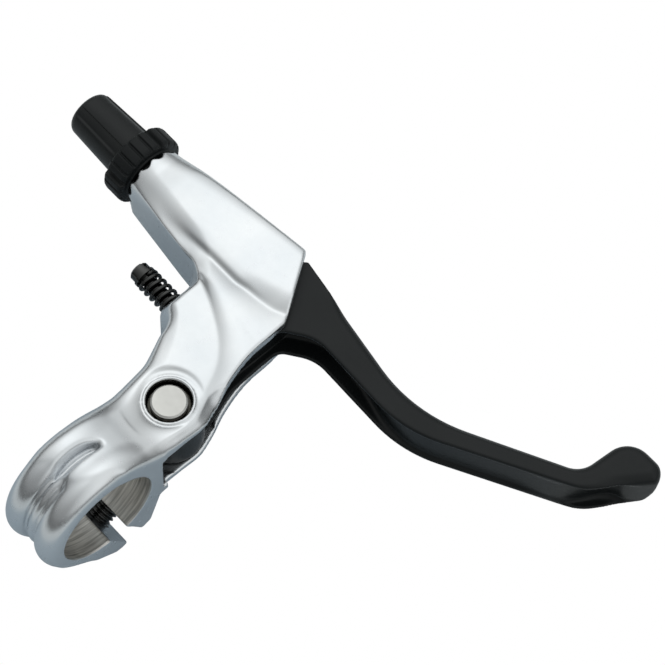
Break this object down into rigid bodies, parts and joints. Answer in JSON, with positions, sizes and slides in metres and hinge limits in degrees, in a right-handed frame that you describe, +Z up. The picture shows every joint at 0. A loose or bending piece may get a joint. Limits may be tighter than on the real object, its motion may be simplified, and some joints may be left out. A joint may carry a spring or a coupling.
{
  "type": "bicycle brake lever",
  "caption": "Flat-bar bicycle brake lever: sculpted aluminium bracket with a split handlebar clamp, hinged finger blade, reach screw and cable adjuster.",
  "frame": {"origin": "centre of the handlebar clamp's bore", "axes": "+X along the handlebar towards its end, +Y forwards away from the rider, +Z up along the lever's pivot"},
  "size_m": [0.1409, 0.1033, 0.0384],
  "materials": {
    "bracket_silver": "satin silver, faces slightly polished",
    "bolt_black": "black oxide",
    "lever_black": "black semi-gloss paint",
    "pin_steel": "brushed end face",
    "washer_steel": "zinc plated",
    "clip_steel": "oiled spring steel",
    "bush_nylon": "natural nylon",
    "screw_black": "black oxide",
    "spring_black": "black oxide",
    "adjuster_black": "black anodised, satin",
    "ring_black": "moulded satin black"
  },
  "bodies": {
    "bracket": {"bracket_body": "bracket_silver", "clamp_bolt": "bolt_black", "pivot_pin": "pin_steel", "pivot_washer": "washer_steel", "pivot_clip": "clip_steel"},
    "lever": {"lever_blade": "lever_black", "bush_upper": "bush_nylon", "bush_lower": "bush_nylon"},
    "reach_slide": {"reach_spring": "spring_black"},
    "reach": {"reach_screw": "screw_black"},
    "ring": {"adjuster_ring": "ring_black"},
    "barrel": {"adjuster_barrel": "adjuster_black"}
  },
  "joints": [
    {"name": "lever_squeeze", "type": "hinge", "parent": "bracket", "child": "lever", "pos_m": [-0.0006, 0.0231, 0], "axis": [0, 0, -1], "range_deg": [0, 30]},
    {"name": "reach_travel", "type": "slide", "parent": "bracket", "child": "reach_slide", "axis": [-1, 0, 0], "range_m": [0, 0.004], "deforming": ["reach_spring"]},
    {"name": "reach_turn", "type": "hinge", "parent": "reach_slide", "child": "reach", "pos_m": [-0.02, 0.0404, 0], "axis": [-1, 0, 0], "range_deg": [0, 2100]},
    {"name": "adjuster_turn", "type": "hinge", "parent": "bracket", "child": "ring", "pos_m": [-0.05, 0.057, 0], "axis": [1, 0, 0], "range_deg": [0, 1840]},
    {"name": "adjuster_travel", "type": "slide", "parent": "bracket", "child": "barrel", "axis": [-1, 0, 0], "range_m": [0, 0.005]}
  ],
  "couplings": [
    {"joint": "reach_turn", "follows": "reach_travel", "rad_per_m": 8976},
    {"joint": "adjuster_turn", "follows": "adjuster_travel", "rad_per_m": 6283.2}
  ]
}
